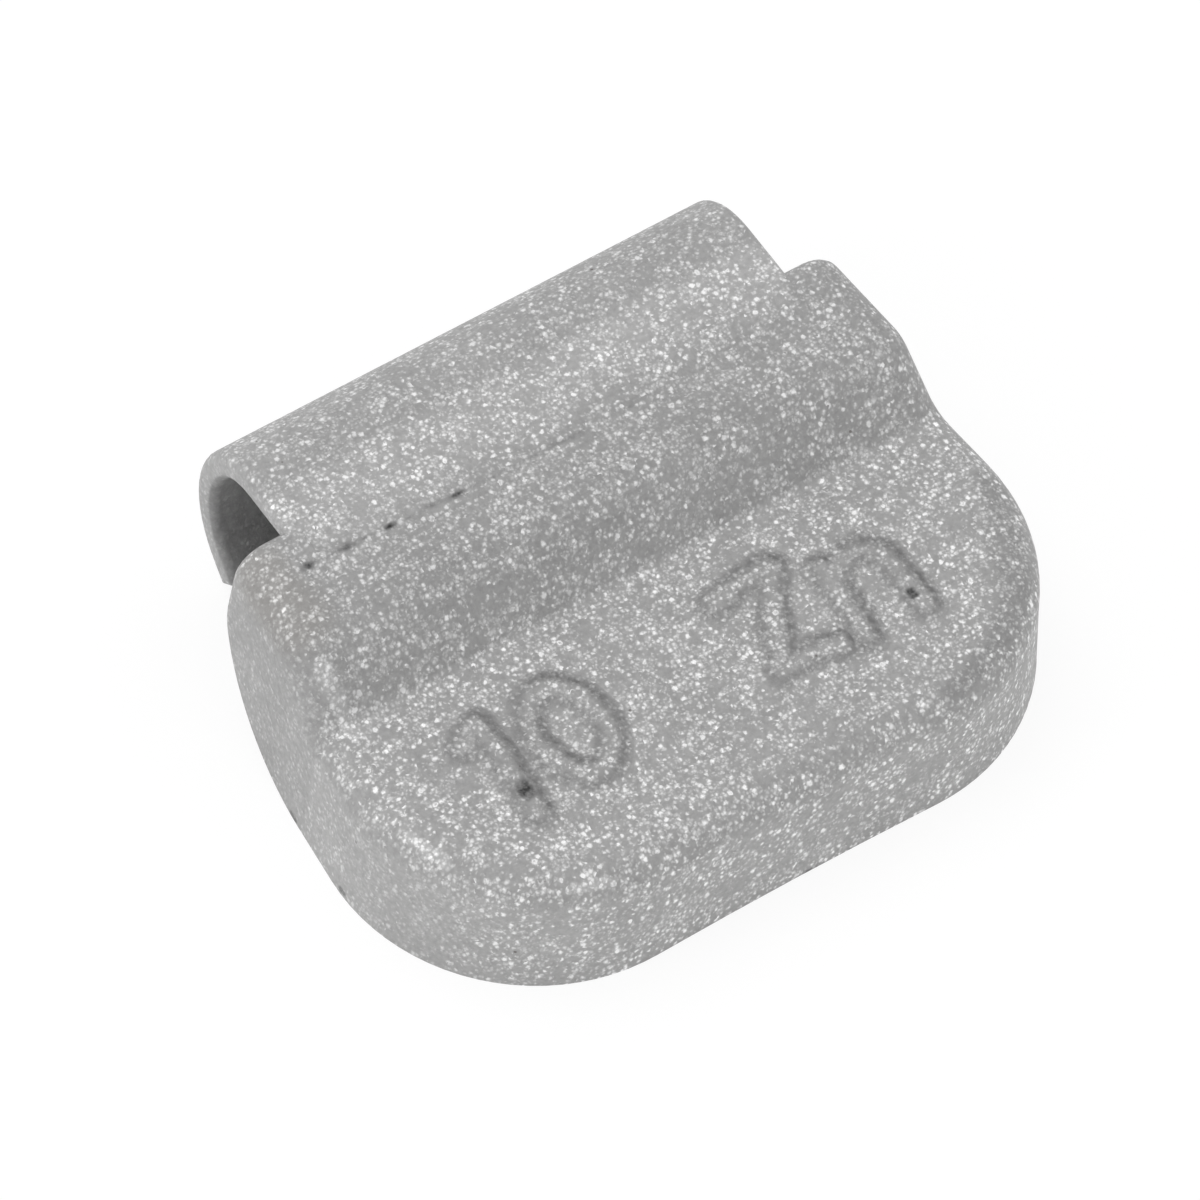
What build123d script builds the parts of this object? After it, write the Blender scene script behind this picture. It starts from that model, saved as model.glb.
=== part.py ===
from build123d import *
import math
import os

# Clip-on balance weight for a steel wheel rim, lying on its flat back.
# A zinc casting holds one bent strip of spring steel, whose tang is cast into the thick band.
# X runs along the rim, Y from the casting's free edge to the clip, Z up from the back.
# Each reach below is taken from the free edge, each setback from the hook's outer face.
# The origin is under the middle of the whole part.

# casting, seen from the front
body_length = 22.5  # widest place, at the back
band_length = 21.05  # across the two ears, at the back
corner_radius = 6.3  # the two lower corners
rim_radius = 180.0  # the free edge follows a circle about the wheel's axle
wall_draft = 3.5  # degrees, all round the outer wall

# casting, seen from the end
pad_height = 4.45  # low front pad that carries the marks
ledge_drop = 0.1  # from the strip's roof down to the thick band, at the nose
ledge_rise = 2.0  # degrees, the band climbs toward the nose
nose_setback = 3.9  # to the nose, at the back
knee_setback = 8.05  # to the top of the step
crease_setback = 9.7  # to the foot of the step
crease_radius = 0.4
knee_radius = 1.55
front_round = 1.15  # edge between the front and the outer wall
ear_round = 0.5  # edge round the nose and the ears
seat_radius = 5.3  # hollow behind the nose where the rim's flange rolls in

# clip, a bent strip
strip_thickness = 0.85
strip_width = 17.0
strip_edge_round = 0.3
hook_reach = 18.35  # free edge to the outer face of the hook, the depth of the whole part
roof_height = 6.7  # outer face of the roof
bow_setback = 4.35  # to the top of the bow, where the roof is level
bow_radius = 6.95  # inside radius, from the tang up to the roof
hook_radius = 1.55  # inside radius, roof to leg
hook_turn = 60.0  # degrees of that bend
leg_turn = 43.0  # degrees that the leg curls inward below the hook
tip_length = 0.74  # straight end of the leg
tip_clearance = 0.15  # leg's tip above the surface that the back lies on

# tang, the part of the strip inside the casting
tang_setback = 8.05  # to the tang's end
key_hole_diameter = 1.2  # zinc flows through these holes and locks the strip
key_hole_pitch = 5.4
key_hole_count = 3
key_hole_setback = 7.05  # to the middle of the holes

# how far a cut runs past the casting
overrun = 2.0

# datum planes, with their origin below the middle of the free edge
free_edge = Vector(0, -hook_reach / 2, 0)
back_plane = Plane(origin=free_edge)
end_plane = Plane(origin=free_edge, x_dir=(0, 1, 0), z_dir=(1, 0, 0))

# the band stays with the hook, and the low pad takes what is left of the depth
band_top = hook_reach - nose_setback
knee_reach = hook_reach - knee_setback
crease_reach = hook_reach - crease_setback
bow_reach = hook_reach - bow_setback

# the band ends just under the strip's roof, so that the strip lies almost flush in it
ledge_height = roof_height - ledge_drop
ledge_grade = math.tan(math.radians(ledge_rise))
knee_height = ledge_height - (band_top - knee_reach) * ledge_grade

# outline of the casting at its back
# each lower corner is a circle that touches the free edge's large circle and the leaning side
corner_x = body_length / 2 - corner_radius
corner = Vector(corner_x, corner_radius)
ear = Vector(band_length / 2, band_top)
axle_lean = math.degrees(math.asin(corner_x / (rim_radius + corner_radius)))
axle_y = corner_radius - (rim_radius + corner_radius) * math.cos(math.radians(axle_lean))
corner_to_ear = math.hypot(ear.X - corner.X, ear.Y - corner.Y)
ear_bearing = math.degrees(math.atan2(ear.X - corner.X, ear.Y - corner.Y))
side_lean = math.degrees(math.asin(corner_radius / corner_to_ear)) - ear_bearing
wall_tilt = math.sin(math.radians(wall_draft))

# ends of the cuts across the front and behind the nose
cut_end = band_top + overrun
cut_top = roof_height + 2 * overrun

# hollow behind the nose, a quarter circle from the back to the drafted nose
seat_end = band_top - seat_radius * math.tan(math.radians(wall_draft))
seat_start = seat_end - seat_radius

# middle line of the strip
half_strip = strip_thickness / 2
roof_middle = roof_height - half_strip
bow_middle = bow_radius + half_strip
bow_center = Vector(bow_reach, roof_middle - bow_middle)
tang_turn = math.degrees(math.asin((tang_setback - bow_setback) / bow_middle))
hook_middle = hook_radius + half_strip
leg_line = hook_reach - half_strip
leg_start = math.radians(90 - hook_turn)
curl = math.radians(leg_turn)

# the leg bulges to the hook's reach, and takes the height left between the hook and the straight tip
tip_slope = Vector(-math.sin(curl), -math.cos(curl))
tip_level = tip_clearance + half_strip * math.sin(curl)
leg_end_level = tip_level + tip_length * math.cos(curl)
height_left = roof_middle - hook_middle * (1 - math.sin(leg_start)) - leg_end_level
leg_middle = height_left / (math.sin(leg_start) + math.sin(curl))
leg_center = Vector(leg_line - leg_middle, leg_end_level + leg_middle * math.sin(curl))
leg_end = leg_center + Vector(math.cos(curl), -math.sin(curl)) * leg_middle
tip = leg_end + tip_slope * tip_length
hook_start = leg_center + Vector(math.cos(leg_start), math.sin(leg_start)) * (leg_middle - hook_middle)
hook_center = Vector(hook_start.X, roof_middle - hook_middle)

# plane of the tang at the holes that key it
key_slope = math.asin((key_hole_setback - bow_setback) / bow_middle)
key_lean = Vector(0, -math.sin(key_slope), math.cos(key_slope))
tang_plane = Plane(
    origin=free_edge + Vector(0, bow_center.X, bow_center.Y) + key_lean * bow_middle,
    x_dir=(1, 0, 0),
    z_dir=key_lean,
)

with BuildPart() as clip:
    with BuildSketch(end_plane):
        with BuildLine() as strip_line:
            CenterArc(bow_center, bow_middle, 90 + tang_turn, -tang_turn)
            Line(bow_center + Vector(0, bow_middle), hook_center + Vector(0, hook_middle))
            CenterArc(hook_center, hook_middle, 90, -hook_turn)
            CenterArc(leg_center, leg_middle, 90 - hook_turn, hook_turn - 90 - leg_turn)
            Line(leg_end, tip)
        trace(strip_line.edges(), line_width=strip_thickness)
    extrude(amount=strip_width / 2, both=True)
    with BuildSketch(tang_plane):
        with GridLocations(key_hole_pitch, 0, key_hole_count, 1):
            Circle(key_hole_diameter / 2)
    extrude(amount=strip_thickness, both=True, mode=Mode.SUBTRACT)

    # rounded along its two sides, square where it is sheared off at the tang and the tip
    sides = faces().sort_by(Axis.X)
    side_edges = sides[0].edges() + sides[-1].edges()
    sheared_edges = faces().sort_by(Axis.Y)[0].edges() + faces().sort_by(Axis.Z)[0].edges()
    fillet([edge for edge in side_edges if edge not in sheared_edges], strip_edge_round)

with BuildPart() as weight_body:
    with BuildSketch(back_plane):
        with BuildLine():
            CenterArc((0, axle_y), rim_radius, 90, -axle_lean)
            corner_arc = CenterArc(corner, corner_radius, -90 - axle_lean, 90 + axle_lean + side_lean)
            side = Line(corner_arc @ 1, ear)
            Line(side @ 1, (0, band_top))
            mirror(about=Plane.YZ)
        make_face()
    extrude(amount=roof_height + overrun, taper=wall_draft)

    # front: low pad, step and thick band
    with BuildSketch(end_plane):
        with BuildLine():
            pad_line = Line((-overrun, pad_height), (crease_reach, pad_height))
            step_line = Line(pad_line @ 1, (knee_reach, knee_height))
            ledge_line = Line(step_line @ 1, (cut_end, ledge_height + overrun * ledge_grade))
            Polyline(ledge_line @ 1, (cut_end, cut_top), (-overrun, cut_top), pad_line @ 0)
        make_face()
        fillet(vertices().sort_by_distance(Vertex(crease_reach, pad_height))[0], crease_radius)
        fillet(vertices().sort_by_distance(Vertex(knee_reach, knee_height))[0], knee_radius)
    extrude(amount=body_length, both=True, mode=Mode.SUBTRACT)

    # rounded edges: first the front's outline, then the nose with its two ears
    front = faces().filter_by(lambda face: face.normal_at().Z > 2 * wall_tilt)
    front_edges = edges().filter_by(lambda edge: sum(edge in face.edges() for face in front) == 1)
    fillet(front_edges.sort_by(Axis.Y)[:-1], front_round)
    nose = faces().sort_by(Axis.Y)[-1]
    fillet(nose.edges().sort_by(Axis.Z)[1:], ear_round)

    # hollow behind the nose
    with BuildSketch(end_plane):
        with BuildLine():
            seat_arc = CenterArc((seat_start, seat_radius), seat_radius, -90, 90)
            seat_corner = Line(seat_arc @ 1, (cut_end, seat_radius)) @ 1
            Polyline(seat_corner, (cut_end, -overrun), (seat_start, -overrun), seat_arc @ 0)
        make_face()
    extrude(amount=body_length, both=True, mode=Mode.SUBTRACT)

    # room for the strip, which the zinc fills all round
    add(clip.part, mode=Mode.SUBTRACT)

os.makedirs("parts", exist_ok=True)
clip.part.label = "clip"
export_step(clip.part, "parts/clip.step")
weight_body.part.label = "weight_body"
export_step(weight_body.part, "parts/weight_body.step")
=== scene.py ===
import math

import bpy
import numpy as np
from mathutils import Matrix, Vector


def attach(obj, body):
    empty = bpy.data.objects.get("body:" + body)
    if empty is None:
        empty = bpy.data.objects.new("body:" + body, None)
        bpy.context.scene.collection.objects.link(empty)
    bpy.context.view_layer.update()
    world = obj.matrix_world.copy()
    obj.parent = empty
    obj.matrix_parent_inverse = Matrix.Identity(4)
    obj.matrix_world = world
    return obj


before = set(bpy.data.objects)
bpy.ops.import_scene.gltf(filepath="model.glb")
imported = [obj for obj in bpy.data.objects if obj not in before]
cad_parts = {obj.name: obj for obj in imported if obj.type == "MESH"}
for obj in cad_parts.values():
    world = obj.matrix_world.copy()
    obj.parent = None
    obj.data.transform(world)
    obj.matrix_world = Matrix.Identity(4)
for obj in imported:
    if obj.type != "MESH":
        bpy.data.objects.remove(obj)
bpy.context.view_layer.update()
mm = 0.001


# node helpers: a socket is linked, anything else becomes the input's own value
def feed(tree, socket, value):
    if isinstance(value, bpy.types.NodeSocket):
        tree.links.new(value, socket)
    else:
        socket.default_value = value


def addNode(tree, kind, inputs=None, **settings):
    node = tree.nodes.new(kind)
    for key, value in settings.items():
        setattr(node, key, value)
    for key, value in (inputs or {}).items():
        feed(tree, node.inputs[key], value)
    return node


def calc(tree, operation, *values, clamp=False):
    node = addNode(tree, "ShaderNodeMath", dict(enumerate(values)), operation=operation, use_clamp=clamp)
    return node.outputs[0]


# the same operation one after the other over any number of values
def combine(tree, operation, total, *others):
    for other in others:
        total = calc(tree, operation, total, other)
    return total


def vectorCalc(tree, operation, *values):
    node = addNode(tree, "ShaderNodeVectorMath", dict(enumerate(values)), operation=operation)
    return node.outputs["Value" if operation in ("DOT_PRODUCT", "DISTANCE") else "Vector"]


def scaled(tree, vector, factor):
    node = addNode(tree, "ShaderNodeVectorMath", {0: vector, "Scale": factor}, operation="SCALE")
    return node.outputs["Vector"]


def spotInMm(tree):
    return scaled(tree, addNode(tree, "ShaderNodeTexCoord").outputs["Object"], 1 / mm)


def remap(tree, value, given, wanted=(0.0, 1.0), smooth=True):
    inputs = {"Value": value, "From Min": given[0], "From Max": given[1],
              "To Min": wanted[0], "To Max": wanted[1]}
    shape = "SMOOTHSTEP" if smooth else "LINEAR"
    return addNode(tree, "ShaderNodeMapRange", inputs, interpolation_type=shape).outputs["Result"]


def blendColors(tree, amount, first, second):
    node = addNode(tree, "ShaderNodeMix", data_type="RGBA", blend_type="MIX", clamp_factor=True)
    feed(tree, node.inputs["Factor"], amount)
    feed(tree, node.inputs[6], first)  # the colour sockets A and B, and the colour result
    feed(tree, node.inputs[7], second)
    return node.outputs[2]


def openGroup(name, inputs, outputs):
    group = bpy.data.node_groups.new(name, "ShaderNodeTree")
    for label, kind, value in inputs:
        socket = group.interface.new_socket(name=label, in_out="INPUT", socket_type=kind)
        socket.default_value = value
    for label, kind in outputs:
        group.interface.new_socket(name=label, in_out="OUTPUT", socket_type=kind)
    return group, group.nodes.new("NodeGroupInput").outputs, group.nodes.new("NodeGroupOutput").inputs


# noise patterns of the coating: grains per mm, octaves, roughness
grains = {
    "wobble": (9.0, 1.0, 0.5), "cloud": (1.5, 2.0, 0.65),
    "broad": (0.45, 1.0, 0.5), "close": (6.0, 2.0, 0.65),
    "peel": (2.6, 1.0, 0.55), "waves": (0.5, 0.0, 0.5), "grit": (11.0, 1.0, 0.6),
    "shadeAndSoil": (4.5, 2.0, 0.6), "pocket": (2.2, 1.0, 0.5),
    "span": (0.3, 0.7),  # most of a noise lies between these two values
}


def noise(tree, vector, grain, output="Fac"):
    perMm, octaves, rough = grains[grain]
    inputs = {"Vector": vector, "Scale": perMm, "Detail": octaves, "Roughness": rough}
    return addNode(tree, "ShaderNodeTexNoise", inputs).outputs[output]


# Voronoi cells: distance to the cell's middle, the colour that the cell drew, and its channels
def cellPattern(tree, vector, perMm):
    cells = addNode(tree, "ShaderNodeTexVoronoi", {"Vector": vector, "Scale": perMm}, feature="F1").outputs
    channels = addNode(tree, "ShaderNodeSeparateColor", {0: cells["Color"]}).outputs
    return cells["Distance"], cells["Color"], channels


# silver coating with aluminium flakes; lengths in mm
# four sizes of flake are cells of a Voronoi pattern, each shown as a round dot about its cell's middle,
# and a soft cloud pattern decides where the flakes crowd together; fewer show on upright faces, painted glint
# that leaves the top faces sparkling most
flakes = {
    "sizes": {
        "fine": {"perMm": 9.5, "reach": 0.66, "share": 0.9, "gain": 0.50},
        "middle": {"perMm": 6.6, "reach": 0.58, "share": 0.78, "gain": 1.05},
        "large": {"perMm": 4.5, "reach": 0.47, "share": 0.52, "gain": 1.5},
        "coarse": {"perMm": 3.0, "reach": 0.37, "share": 0.34, "gain": 1.9},
    },
    "core": 0.10,  # part of the reach where a dot has its full strength
    "faintest": 0.36,  # part of the gain that the weakest flake has
    "wobble": 0.12, "tall": 0.82,  # cells are bent a little and stand taller than wide
    "sparse": 0.30, "cloudSpan": (0.38, 0.62),
    # fewer flakes on upright faces and side walls are painted glint: the top faces catch the light most
    "onWalls": 0.85, "wallTurn": (0.1, 0.8),  # turns are ranges of the normal's part along an axis
    "onSides": 0.5, "sideTurn": (0.6, 0.95),  # the two side walls show fewer flakes, painted dimmer glint there
    # upright faces painted lighter: painted bounce light from the floor
    "wallLight": 1.12, "wallLightTurn": (0.55, 0.15),
    "mottle": {"broad": 0.04, "close": 0.11},  # swing of the tone about one
    "relief": {"peel": 0.04, "waves": 0.08, "grit": 0.010},  # heights of the skin's bumps
}


def flakeGroup():
    inputs = [(label, "NodeSocketFloat", 1.0) for label in ("Amount", "Tilt", "Relief")]
    outputs = [(label, "NodeSocketFloat") for label in ("Flake", "Tone", "Height")]
    group, given, out = openGroup("flakeCoat", inputs, outputs + [("Normal", "NodeSocketVector")])
    spot = spotInMm(group)
    surface = addNode(group, "ShaderNodeNewGeometry").outputs["Normal"]
    facing = addNode(group, "ShaderNodeSeparateXYZ", {0: surface}).outputs
    tall = vectorCalc(group, "MULTIPLY", spot, (1.0, 1.0, flakes["tall"]))
    wobble = noise(group, spot, "wobble", "Color")
    bent = vectorCalc(group, "MULTIPLY_ADD", wobble, (flakes["wobble"],) * 3, tall)
    cloud = remap(group, noise(group, spot, "cloud"), flakes["cloudSpan"], (flakes["sparse"], 1.0))
    # painted glint: fewer flakes on upright faces and on the side walls
    walls = remap(group, facing["Z"], flakes["wallTurn"], (flakes["onWalls"], 1.0))
    crowd = combine(group, "MULTIPLY", cloud, given["Amount"], walls)
    sides = remap(group, calc(group, "ABSOLUTE", facing["X"]), flakes["sideTurn"], (1.0, flakes["onSides"]))

    # each flake leans its own way, by the colour that its cell drew
    masks, leans = [], []
    for size in flakes["sizes"].values():
        distance, drawn, channels = cellPattern(group, bent, size["perMm"])
        there = calc(group, "LESS_THAN", channels[1], calc(group, "MULTIPLY", crowd, size["share"]))
        dot = remap(group, distance, (size["reach"], size["reach"] * flakes["core"]))
        weakest = flakes["faintest"] * size["gain"]
        glow = remap(group, channels[0], (0.0, 1.0), (weakest, size["gain"]), smooth=False)
        mask = combine(group, "MULTIPLY", there, dot, glow)
        turned = vectorCalc(group, "SUBTRACT", drawn, (0.5, 0.5, 0.5))
        masks.append(mask)
        leans.append(scaled(group, turned, mask))
    lean = leans[0]
    for push in leans[1:]:
        lean = vectorCalc(group, "ADD", lean, push)
    total = calc(group, "MINIMUM", combine(group, "MAXIMUM", *masks), 1.0)

    mottle = [remap(group, noise(group, spot, grain), grains["span"], (1 - swing, 1 + swing), smooth=False)
              for grain, swing in flakes["mottle"].items()]
    bumps = [calc(group, "MULTIPLY", noise(group, spot, grain), high)
             for grain, high in flakes["relief"].items()]
    # upright faces painted lighter: painted bounce light from the floor
    uprightLight = remap(group, facing["Z"], flakes["wallLightTurn"], (1.0, flakes["wallLight"]))
    leaning = vectorCalc(group, "ADD", surface, scaled(group, lean, given["Tilt"]))
    feed(group, out["Flake"], calc(group, "MULTIPLY", total, sides))
    feed(group, out["Tone"], combine(group, "MULTIPLY", *mottle, uprightLight))
    feed(group, out["Height"], calc(group, "MULTIPLY", combine(group, "ADD", *bumps), given["Relief"]))
    feed(group, out["Normal"], vectorCalc(group, "NORMALIZE", leaning))
    return group


# places on the casting: a painted highlight of extra flakes along its rounded edges, dark spots at its base,
# a brownish stain, and painted shade along the rounding at the right corner of the pad
# each row: two ends of a short line and the reach round it, in mm
places = {
    # painted highlight: extra flakes where the rounded edges catch the light
    "PaintedHighlight": [((-9.85, 0.7, 5.8), (-9.72, -0.75, 4.5), 0.42),
             ((-10.25, -4.4, 4.3), (-9.85, -5.66, 4.22), 0.26),
             ((-7.3, -8.16, 4.14), (-6.2, -8.5, 4.1), 0.24)],
    # dark spots at the base
    "BaseSpot": [((-11.0, 0.1, 0.1), (-11.05, -0.1, 0.1), 0.18),
             ((-11.25, -2.75, 0.2), (-11.25, -2.9, 0.2), 0.16),
             ((0.35, -9.15, 0.0), (0.6, -9.15, 0.0), 0.18)],
    "Stain": [((-9.9, 3.9, 6.3), (-9.7, 2.2, 6.2), 1.4)],
    # painted shade along the rounding at the pad's right corner
    "PaintedShade": [((10.4, -3.2, 4.3), (9.7, -5.0, 4.4), 0.75),
             ((9.7, -5.0, 4.4), (8.9, -6.6, 4.35), 0.85),
             ((8.9, -6.6, 4.35), (7.4, -7.8, 4.3), 0.70),
             ((7.4, -7.8, 4.3), (5.4, -8.4, 4.25), 0.50)],
    "core": 0.3,  # part of the reach where the mask is one
    # how strongly the painted highlight adds flakes and lifts them
    "highlightFlakes": 1.8, "highlightLift": 0.11,
    "tints": {"Stain": (0.14, (0.20, 0.16, 0.11, 1.0)),  # strength and colour
              "PaintedShade": (0.20, (0.05, 0.05, 0.05, 1.0)),
              "BaseSpot": (0.55, (0.05, 0.05, 0.05, 1.0))},
}


# distance to each short line; the mask is one near the line and falls off smoothly to its reach
def placeGroup():
    labels = ("PaintedHighlight", "BaseSpot", "Stain", "PaintedShade")
    group, _, out = openGroup("coatPlaces", [], [(label, "NodeSocketFloat") for label in labels])
    spot = spotInMm(group)
    for label in labels:
        total = 0.0
        for start, end, reach in places[label]:
            line = Vector(end) - Vector(start)
            way = vectorCalc(group, "SUBTRACT", spot, start)
            along = vectorCalc(group, "DOT_PRODUCT", way, line / line.length_squared)
            kept = calc(group, "MINIMUM", calc(group, "MAXIMUM", along, 0.0), 1.0)
            gap = vectorCalc(group, "DISTANCE", way, scaled(group, tuple(line), kept))
            total = calc(group, "MAXIMUM", total, remap(group, gap, (reach, reach * places["core"])))
        feed(group, out[label], total)
    return group


# painted shade and sheen over the depth of the part: rows of place along Y in mm, tone there and strength of
# the flakes;
# the casting's rows darken its slope and ledge, partly painted shade and partly a duller ledge, and show
# fewer flakes there, painted glint;
# the clip's rows paint a highlight band with more flakes along its roof
# pocket is how much of their colour the faces that look into the hook keep under the painted shade there
coat = {
    "zinc": {
        "grey": 0.354, "amount": 1.0, "tilt": 0.8, "relief": 1.0, "metal": 0.4, "pocket": 0.80,
        "shadeAndSheenRows": [(-0.7, 1.0, 1.0), (-0.4, 0.935, 0.78), (0.6, 0.94, 0.78),
                  (1.5, 0.88, 0.80), (3.4, 0.94, 0.80)],
    },
    "steel": {
        "grey": 0.396, "amount": 1.0, "tilt": 0.8, "relief": 0.7, "metal": 0.4, "pocket": 0.68,
        "shadeAndSheenRows": [(3.2, 0.87, 0.9), (4.9, 1.0, 1.05), (5.6, 0.99, 1.0), (6.3, 0.86, 0.75)],
    },
    "tint": (1.006, 1.0, 0.997), "flakeWhite": (1.0, 1.0, 1.0, 1.0),
    "roughBase": 0.60, "roughFlake": 0.36, "specular": 0.3,
    # painted shade on the faces that look into the hook: where it falls, its colour and how uneven it is
    "pocketMiddle": (0.0, 6.4, 3.4), "pocketTurn": (-0.25, -0.55), "noseStart": -0.3,
    "pocketFlakes": 0.3, "pocketSwing": (0.72, 1.22), "pocketShadeColor": (0.02, 0.02, 0.02, 1.0),
    "speck": {"perMm": 0.9, "reach": 0.055, "core": 0.6, "share": 0.30, "dark": 0.6,
              "color": (0.05, 0.035, 0.025, 1.0)},
    # darkening from the point attribute: painted shade along the marks' flanks, the seam's dark joint line,
    # and pits that are partly painted shade and partly dirt
    "shadeAndSoil": {"span": (0.35, 0.65), "swing": (0.62, 1.30), "bare": 0.85, "color": (0.03, 0.03, 0.03, 1.0)},
}
coatGroup = flakeGroup()
coatPlaces = placeGroup()


# painted shade where a face looks into the hook: its normal points toward the pocket's middle line along X
def pocketShadeMask(tree, spot, depth):
    away = vectorCalc(tree, "SUBTRACT", spot, coat["pocketMiddle"])
    way = vectorCalc(tree, "NORMALIZE", vectorCalc(tree, "MULTIPLY", away, (0.0, 1.0, 1.0)))
    surface = addNode(tree, "ShaderNodeNewGeometry").outputs["Normal"]
    inward = remap(tree, vectorCalc(tree, "DOT_PRODUCT", way, surface), coat["pocketTurn"])
    return calc(tree, "MULTIPLY", inward, calc(tree, "GREATER_THAN", depth, coat["noseStart"]))


# a few dark specks, each a small dot in a cell that was drawn
def speckMask(tree, spot):
    speck = coat["speck"]
    distance, _, channels = cellPattern(tree, spot, speck["perMm"])
    edge = (speck["reach"], speck["reach"] * speck["core"])
    dot = remap(tree, distance, edge, (0.0, speck["dark"]))
    return calc(tree, "MULTIPLY", calc(tree, "LESS_THAN", channels[1], speck["share"]), dot)


# the third argument names a point attribute with dark foot lines, which are painted shade, and pits, partly
# painted shade and partly dirt; spots adds the casting's places, a painted highlight and painted shade among
# them
def coatMaterial(name, look, shadeAndSoil=None, spots=False):
    material = bpy.data.materials.new(name)
    material.use_nodes = True
    tree = material.node_tree
    shader = tree.nodes["Principled BSDF"]
    layer = addNode(tree, "ShaderNodeGroup", node_tree=coatGroup)
    for label in ("Amount", "Tilt", "Relief"):
        layer.inputs[label].default_value = look[label.lower()]
    got = layer.outputs
    if spots:
        placeMasks = addNode(tree, "ShaderNodeGroup", node_tree=coatPlaces).outputs
        # extra flakes on the rounded edges: painted highlight
        amount = calc(tree, "MULTIPLY_ADD", placeMasks["PaintedHighlight"], places["highlightFlakes"], look["amount"])
        feed(tree, layer.inputs["Amount"], amount)
    spot = spotInMm(tree)
    depth = addNode(tree, "ShaderNodeSeparateXYZ", {0: spot}).outputs["Y"]
    hookShade = pocketShadeMask(tree, spot, depth)

    # each step of the rows is a smooth factor over its stretch of Y, painted shade and painted highlight
    shadeAndSheenRows = look["shadeAndSheenRows"]
    tone = calc(tree, "MULTIPLY", got["Tone"], shadeAndSheenRows[0][1])
    flake = calc(tree, "MULTIPLY", got["Flake"], shadeAndSheenRows[0][2])
    for (start, toneHere, flakeHere), (end, toneNext, flakeNext) in zip(shadeAndSheenRows, shadeAndSheenRows[1:]):
        tone = calc(tree, "MULTIPLY", tone, remap(tree, depth, (start, end), (1.0, toneNext / toneHere)))
        flake = calc(tree, "MULTIPLY", flake, remap(tree, depth, (start, end), (1.0, flakeNext / flakeHere)))
    hidden = remap(tree, hookShade, (0.0, 1.0), (1.0, coat["pocketFlakes"]), smooth=False)
    flake = calc(tree, "MULTIPLY", flake, hidden)
    # the attribute's painted shade and dirt thin the flakes, then darken the colour
    if shadeAndSoil:
        shadeAndDirt = coat["shadeAndSoil"]
        uneven = remap(tree, noise(tree, spot, "shadeAndSoil"), shadeAndDirt["span"], shadeAndDirt["swing"], smooth=False)
        written = addNode(tree, "ShaderNodeAttribute", attribute_name=shadeAndSoil).outputs["Fac"]
        mark = calc(tree, "MULTIPLY", written, uneven)
        left = remap(tree, mark, (0.0, shadeAndDirt["bare"]), (1.0, 0.0), smooth=False)
        flake = calc(tree, "MULTIPLY", flake, left)
    if spots:
        # flakes lifted on the rounded edges: painted highlight
        flake = calc(tree, "MULTIPLY_ADD", placeMasks["PaintedHighlight"], places["highlightLift"], flake, clamp=True)

    # grey coat, white flakes, then what darkens them
    channels = [calc(tree, "MULTIPLY", tone, look["grey"] * tint) for tint in coat["tint"]]
    grey = addNode(tree, "ShaderNodeCombineColor", dict(enumerate(channels))).outputs[0]
    color = blendColors(tree, flake, grey, coat["flakeWhite"])
    color = blendColors(tree, speckMask(tree, spot), color, coat["speck"]["color"])
    # the places' tints: the brownish stain, the dark spots at the base and the painted shade at the pad's
    # right corner
    if spots:
        for label, (strength, tint) in places["tints"].items():
            color = blendColors(tree, calc(tree, "MULTIPLY", placeMasks[label], strength), color, tint)
    # painted shade on the faces that look into the hook, a little uneven
    mottle = remap(tree, noise(tree, spot, "pocket"), grains["span"], coat["pocketSwing"], smooth=False)
    shade = combine(tree, "MULTIPLY", hookShade, 1 - look["pocket"], mottle)
    color = blendColors(tree, shade, color, coat["pocketShadeColor"])
    if shadeAndSoil:
        color = blendColors(tree, mark, color, shadeAndDirt["color"])

    rough = remap(tree, flake, (0.0, 1.0), (coat["roughBase"], coat["roughFlake"]), smooth=False)
    bump = addNode(tree, "ShaderNodeBump", {"Strength": 1.0, "Distance": mm,
                                            "Height": got["Height"], "Normal": got["Normal"]})
    feed(tree, shader.inputs["Base Color"], color)
    feed(tree, shader.inputs["Metallic"], calc(tree, "MULTIPLY", flake, look["metal"]))
    feed(tree, shader.inputs["Roughness"], rough)
    feed(tree, shader.inputs["Normal"], bump.outputs["Normal"])
    shader.inputs["Specular IOR Level"].default_value = coat["specular"]
    return material


zincCoat = coatMaterial("zincCoat", coat["zinc"], spots=True)
steelCoat = coatMaterial("steelCoat", coat["steel"])
markCoat = coatMaterial("markCoat", coat["zinc"], shadeAndSoil="shadeAndSoil")
for node, material in (("weight_body", zincCoat), ("clip", steelCoat)):
    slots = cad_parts[node].data.materials
    slots.clear()
    slots.append(material)
print("coating on:", ", ".join(sorted(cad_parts)))


def meshPiece(name, points, quads, shadeAndSoil):
    mesh = bpy.data.meshes.new(name)
    mesh.from_pydata(points.tolist(), [], quads.tolist())
    mesh.polygons.foreach_set("use_smooth", np.ones(len(quads), dtype=bool))
    mesh.attributes.new("shadeAndSoil", "FLOAT", "POINT").data.foreach_set("value", shadeAndSoil.astype(np.float32))
    mesh.materials.append(markCoat)
    mesh.update()
    piece = bpy.data.objects.new(name, mesh)
    bpy.context.scene.collection.objects.link(piece)
    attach(piece, "root")
    return piece


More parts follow.
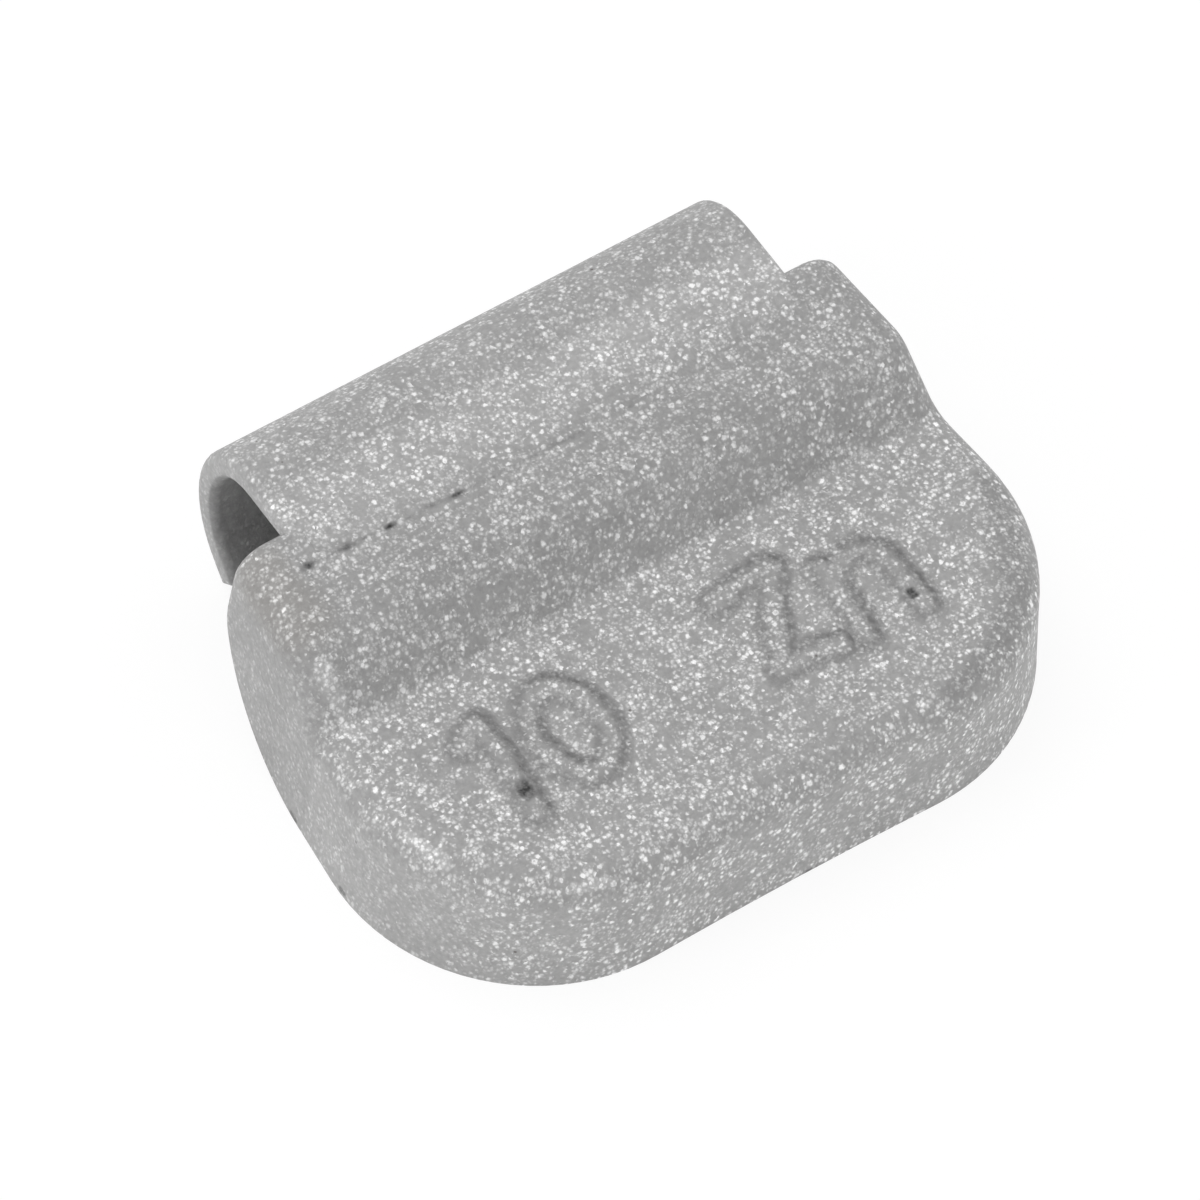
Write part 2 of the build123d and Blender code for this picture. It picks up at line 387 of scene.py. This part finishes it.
# a closed skin from a height map in mm: the cells whose nearest corner is within reach of a line,
# the same cells on a flat bottom, and a wall along the edges that belong to one cell only
def heightPiece(name, xs, ys, top, bottom, away, reach, shadeAndSoil):
    gx, gy = np.meshgrid(xs, ys, indexing="ij")
    nearest = np.minimum.reduce([away[:-1, :-1], away[1:, :-1], away[1:, 1:], away[:-1, 1:]])
    below = top.size
    index = np.arange(below).reshape(top.shape)
    cells = np.stack([index[:-1, :-1], index[1:, :-1], index[1:, 1:], index[:-1, 1:]], -1)[nearest < reach]
    edges = np.concatenate([cells[:, [k, (k + 1) % 4]] for k in range(4)])
    ends = np.sort(edges, 1)
    _, first, times = np.unique(ends[:, 0] * below + ends[:, 1], return_index=True, return_counts=True)
    rim = edges[first[times == 1]]
    walls = np.stack([rim[:, 1], rim[:, 0], rim[:, 0] + below, rim[:, 1] + below], -1)
    used, quads = np.unique(np.concatenate([cells, cells[:, ::-1] + below, walls]), return_inverse=True)
    levels = (top, np.full_like(top, bottom))
    points = np.concatenate([np.stack([gx, gy, level], -1).reshape(-1, 3) for level in levels])
    shadeAndDirt = np.concatenate([shadeAndSoil.ravel(), np.zeros(below)])
    return meshPiece(name, points[used] * mm, quads.reshape(-1, 4), shadeAndDirt[used])


# raised marks on the pad, the mass in grams and the metal; stroke middle lines in mm
# each oval and each pit: middle, half width, half height
marks = {
    "padLevel": 4.45, "height": 0.08, "crest": 0.12, "foot": 0.75, "cell": 0.03,
    "sunk": 0.004, "margin": 0.95, "bottom": 0.15, "ovalPoints": 73,
    "waver": [(0.035, 2.3, 1.7, 0.0), (0.025, -2.9, 4.1, 1.0)],  # size, turn per mm along X and Y, start
    "line": {"at": 0.38, "wide": 0.23, "shadeAndSoil": 0.30},  # painted shade line along each flank
    "shaded": {"toward": (0.88, 0.48), "shadeAndSoil": 0.20},  # flanks that look to +X have the stronger painted shade
    # pits are darkened partly as painted shade of their depth, partly as dirt
    "pitDepth": 0.05, "pitShadeAndSoil": 0.85,
    "mass": {
        "strokes": [[(-7.42, -2.86), (-7.0, -2.56), (-6.68, -2.36), (-6.66, -3.9), (-6.80, -5.70)]],
        "ovals": [(-4.53, -3.90, 1.00, 1.52)],
        "pits": [(-6.70, -4.92, 0.27, 0.34)],
    },
    "metal": {
        "strokes": [[(1.30, -2.54), (2.20, -2.33), (3.30, -2.33), (1.66, -5.34), (2.6, -5.38), (3.55, -5.48)],
                    [(4.55, -3.12), (4.50, -4.32), (4.40, -5.68)],
                    [(4.60, -3.68), (4.85, -3.34), (5.35, -3.14), (5.90, -3.20),
                     (6.27, -3.55), (6.40, -4.18), (6.40, -5.62)]],
        "ovals": [],
        "pits": [(6.25, -5.17, 0.17, 0.20)],
    },
}


# shortest distance from each grid point to a chain of straight lines
def chainDistance(gx, gy, chain):
    starts, ends = np.array(chain[:-1]), np.array(chain[1:])
    runs = ends - starts
    ax, ay = gx[..., None] - starts[:, 0], gy[..., None] - starts[:, 1]
    along = np.clip((ax * runs[:, 0] + ay * runs[:, 1]) / (runs ** 2).sum(1), 0, 1)
    return np.hypot(ax - along * runs[:, 0], ay - along * runs[:, 1]).min(-1)


# ridge height over the distance to its middle line, which wavers a little:
# flat crest, then a smooth fall to its foot; a pit is a dip with a flat floor
def makeMark(name, word):
    turn = np.linspace(0, 2 * np.pi, marks["ovalPoints"])
    ovals = [np.stack([x + w * np.cos(turn), y + h * np.sin(turn)], 1) for x, y, w, h in word["ovals"]]
    chains = word["strokes"] + ovals
    ends = np.concatenate([np.array(chain) for chain in chains])
    low, high = ends.min(0) - marks["margin"], ends.max(0) + marks["margin"]
    xs, ys = (np.arange(low[k], high[k], marks["cell"]) for k in range(2))
    gx, gy = np.meshgrid(xs, ys, indexing="ij")
    waver = sum(size * np.sin(perX * gx + perY * gy + start) for size, perX, perY, start in marks["waver"])
    away = np.min([chainDistance(gx, gy, chain) for chain in chains], 0) + waver
    fall = np.clip((away - marks["crest"]) / (marks["foot"] - marks["crest"]), 0, 1)
    rise = 1 - fall * fall * (3 - 2 * fall)
    top = marks["padLevel"] - marks["sunk"] + (marks["height"] + marks["sunk"]) * rise

    # painted shade along the flanks of the marks, stronger where they look to +X
    line, shaded = marks["line"], marks["shaded"]
    slopeX, slopeY = np.gradient(away, marks["cell"])
    turned = np.clip(shaded["toward"][0] * slopeX + shaded["toward"][1] * slopeY, 0, 1)
    shadeAndSoil = (line["shadeAndSoil"] + shaded["shadeAndSoil"] * turned) * np.exp(-((away - line["at"]) / line["wide"]) ** 2)
    for x, y, w, h in word["pits"]:
        hole = np.exp(-((gx - x) / w) ** 4 - ((gy - y) / h) ** 4)
        top = top - marks["pitDepth"] * hole
        shadeAndSoil = np.maximum(shadeAndSoil, marks["pitShadeAndSoil"] * hole)
    return heightPiece(name, xs, ys, top, marks["padLevel"] - marks["bottom"], away, marks["foot"], shadeAndSoil)


for name, word in (("markMass", "mass"), ("markMetal", "metal")):
    print("mark", name, len(makeMark(name, marks[word]).data.polygons), "faces")


# thin film of coating where the strip leaves the casting, along the seam and round its two cut ends
# toward its left end the seam slants a little toward the hook
# each pit: place along X, offset across, half length, half width, darkness
seam = {
    "startX": -9.1, "stopX": 9.1, "frontY": 2.55, "startY": 3.19, "stopY": 4.62, "cell": 0.03,
    "slant": 0.22, "slantEnd": -8.5, "slantPower": 1.3,
    "stripEnd": 8.5, "edgeRound": 0.3, "edgeFall": 4, "pastEnd": 0.4,
    "bandAt": (5.275, 6.6), "bandGrade": 0.0349, "bowMiddle": (4.825, -1.1), "bowRadius": 7.8,
    "soft": 0.030, "film": 0.012, "sink": 0.07, "wide": 0.50, "full": 0.25, "bottom": 0.45,
    "line": {"shadeAndSoil": 0.15, "wide": 0.05, "fadeFrom": 3.0, "fadeOver": 6.0, "least": 0.15},
    "pitDepth": 0.008, "far": 9.0,  # far is past any reach
    "pits": [(-8.58, 0.04, 0.20, 0.12, 0.90), (-7.30, 0.02, 0.28, 0.10, 0.85),
             (-6.75, 0.02, 0.12, 0.05, 0.40), (-5.90, 0.02, 0.26, 0.09, 0.80),
             (-5.30, 0.00, 0.12, 0.05, 0.40), (-4.50, 0.04, 0.24, 0.08, 0.45),
             (-3.70, 0.00, 0.26, 0.10, 0.88), (-2.50, -0.02, 0.12, 0.05, 0.35),
             (-1.25, 0.00, 0.28, 0.06, 0.30), (-0.20, 0.02, 0.90, 0.09, 0.28),
             (2.10, 0.00, 0.16, 0.05, 0.20), (4.60, 0.00, 0.14, 0.04, 0.16)],
}


# soft maximum of the band's level and the strip's arc with its round edges, plus a film that dips under both
def makeSeam():
    xs = np.arange(seam["startX"], seam["stopX"], seam["cell"])
    ys = np.arange(seam["frontY"], seam["stopY"], seam["cell"])
    gx, gy = np.meshgrid(xs, ys, indexing="ij")
    bandY, bandLevel = seam["bandAt"]
    bowY, bowLevel = seam["bowMiddle"]
    band = bandLevel + (gy - bandY) * seam["bandGrade"]
    bow = bowLevel + np.sqrt(seam["bowRadius"] ** 2 - (gy - bowY) ** 2)
    r = seam["edgeRound"]
    past = np.clip(np.abs(gx) - seam["stripEnd"] + r, 0, None)
    rounded = np.sqrt(np.clip(r * r - past ** 2, 0, None))
    strip = np.where(past < r, bow - r + rounded, bow - r - seam["edgeFall"] * (past - r))
    level = seam["soft"] * np.logaddexp(band / seam["soft"], strip / seam["soft"])

    lean = seam["slant"] * np.clip(gx / seam["slantEnd"], 0, 1) ** seam["slantPower"]
    across = gy - seam["startY"] - lean
    toSeam = np.where(np.abs(gx) < seam["stripEnd"] + seam["pastEnd"], np.abs(across), seam["far"])
    toEnd = np.where(gy > seam["startY"], np.abs(np.abs(gx) - seam["stripEnd"]), seam["far"])
    away = np.minimum(toSeam, toEnd)
    full = seam["full"]
    border = np.clip((away - full) / (seam["wide"] - full), 0, 1)
    border = np.maximum(border, np.clip((gy - seam["stopY"] + full) / full, 0, 1))
    top = level + seam["film"] - seam["sink"] * border ** 2

    # dark joint line along the seam, and pits darkened partly as painted shade of their depth, partly as dirt
    line = seam["line"]
    fade = np.clip((line["fadeFrom"] - gx) / line["fadeOver"], line["least"], 1)
    shadeAndSoil = line["shadeAndSoil"] * fade * np.exp(-(across / line["wide"]) ** 2) * (np.abs(gx) < seam["stripEnd"])
    for x, off, w, h, dark in seam["pits"]:
        hole = np.exp(-((gx - x) / w) ** 2 - ((across - off) / h) ** 2)
        top = top - seam["pitDepth"] * hole
        shadeAndSoil = np.maximum(shadeAndSoil, dark * hole)
    return heightPiece("seamFilm", xs, ys, top, bandLevel - seam["bottom"], away, seam["wide"], shadeAndSoil)


print("seam", len(makeSeam().data.polygons), "faces")


# plain white floor: it keeps the shadow, and looks white to the camera and in reflections
stage = {"half": 2.0, "shade": 0.96, "lift": 0.87, "sum": 1.02}


def seenDirect(tree):
    path = addNode(tree, "ShaderNodeLightPath").outputs
    mirrored = calc(tree, "MAXIMUM", path["Is Glossy Ray"], path["Is Transmission Ray"])
    return calc(tree, "MAXIMUM", path["Is Camera Ray"], mirrored)


def makeFloor():
    h = stage["half"]
    mesh = bpy.data.meshes.new("floor")
    mesh.from_pydata([(-h, -h, 0), (h, -h, 0), (h, h, 0), (-h, h, 0)], [], [(0, 1, 2, 3)])
    material = bpy.data.materials.new("floorWhite")
    material.use_nodes = True
    tree = material.node_tree
    tree.nodes.clear()
    white = (stage["shade"],) * 3 + (1,)
    rest = (stage["sum"] - stage["lift"],) * 3 + (1,)  # what is seen is part glow and part this shaded rest
    shade = addNode(tree, "ShaderNodeBsdfDiffuse", {"Color": white}).outputs[0]
    dim = addNode(tree, "ShaderNodeBsdfDiffuse", {"Color": rest}).outputs[0]
    lift = addNode(tree, "ShaderNodeEmission", {"Color": (1, 1, 1, 1), "Strength": stage["lift"]}).outputs[0]
    shown = addNode(tree, "ShaderNodeAddShader", {0: dim, 1: lift}).outputs[0]
    front = addNode(tree, "ShaderNodeMixShader", {0: seenDirect(tree), 1: shade, 2: shown}).outputs[0]
    clear = addNode(tree, "ShaderNodeBsdfTransparent").outputs[0]
    under = addNode(tree, "ShaderNodeNewGeometry").outputs["Backfacing"]  # see-through from below
    both = addNode(tree, "ShaderNodeMixShader", {0: under, 1: front, 2: clear}).outputs[0]
    addNode(tree, "ShaderNodeOutputMaterial", {"Surface": both})
    mesh.materials.append(material)
    floor = bpy.data.objects.new("floor", mesh)
    bpy.context.scene.collection.objects.link(floor)


# soft studio: a sky that is brighter toward the horizon, white where it is seen, and soft boxes
studio = {
    "skyLow": 1.02, "skyHigh": 0.62, "skyTurn": 0.7, "away": 0.45,
    "boxes": {
        "topBox": {"from": (-0.20, 0.34, 0.92), "side": 0.30, "power": 0.55},
        "leftBox": {"from": (-0.86, 0.14, 0.46), "side": 0.12, "power": 0.20},
        "rightBox": {"from": (0.96, 0.05, 0.22), "side": 0.20, "power": 0.10},
    },
}


def makeStudio():
    world = bpy.data.worlds.new("studio")
    bpy.context.scene.world = world
    world.use_nodes = True
    tree = world.node_tree
    sky = tree.nodes["Background"]
    way = addNode(tree, "ShaderNodeTexCoord").outputs["Generated"]
    over = addNode(tree, "ShaderNodeSeparateXYZ", {0: way}).outputs["Z"]
    dome = remap(tree, over, (0.0, studio["skyTurn"]), (studio["skyLow"], studio["skyHigh"]), smooth=False)
    feed(tree, sky.inputs["Strength"], calc(tree, "MAXIMUM", dome, seenDirect(tree)))
    sky.inputs["Color"].default_value = (1, 1, 1, 1)
    for name, box in studio["boxes"].items():
        data = bpy.data.lights.new(name, "AREA")
        data.shape, data.size, data.energy = "SQUARE", box["side"], box["power"]
        lamp = bpy.data.objects.new(name, data)
        out = Vector(box["from"]).normalized()
        lamp.location = out * studio["away"]
        lamp.rotation_mode = "QUATERNION"
        lamp.rotation_quaternion = out.to_track_quat("Z", "Y")
        bpy.context.scene.collection.objects.link(lamp)


# camera at the photograph's angle, in degrees and mm; the picture is turned a little about its own middle
photoView = {
    "turn": -39.08, "height": 56.11, "roll": -6.19, "aim": (0.0, -0.525, 3.0), "slide": (-0.941, 0.076),
    "away": 400.0, "across": 33.92, "sensor": 36.0, "clip": (0.01, 20.0),
}


def makeCamera():
    turn, height, roll = (math.radians(photoView[key]) for key in ("turn", "height", "roll"))
    flat = math.cos(height)
    back = Vector((math.sin(turn) * flat, -math.cos(turn) * flat, math.sin(height)))
    level = Vector((math.cos(turn), math.sin(turn), 0))
    over = back.cross(level)
    right = level * math.cos(roll) - over * math.sin(roll)
    up = level * math.sin(roll) + over * math.cos(roll)
    middle = Vector(photoView["aim"]) + right * photoView["slide"][0] + up * photoView["slide"][1]
    place = (middle + back * photoView["away"]) * mm
    data = bpy.data.cameras.new("photoCamera")
    data.sensor_width = photoView["sensor"]
    data.lens = photoView["sensor"] * photoView["away"] / photoView["across"]
    data.clip_start, data.clip_end = photoView["clip"]
    camera = bpy.data.objects.new("photoCamera", data)
    camera.matrix_world = Matrix.Translation(place) @ Matrix((right, up, back)).transposed().to_4x4()
    bpy.context.scene.collection.objects.link(camera)
    bpy.context.scene.camera = camera


makeFloor()
makeStudio()
makeCamera()
bpy.context.scene.view_settings.view_transform = "Standard"
print("stage ready")
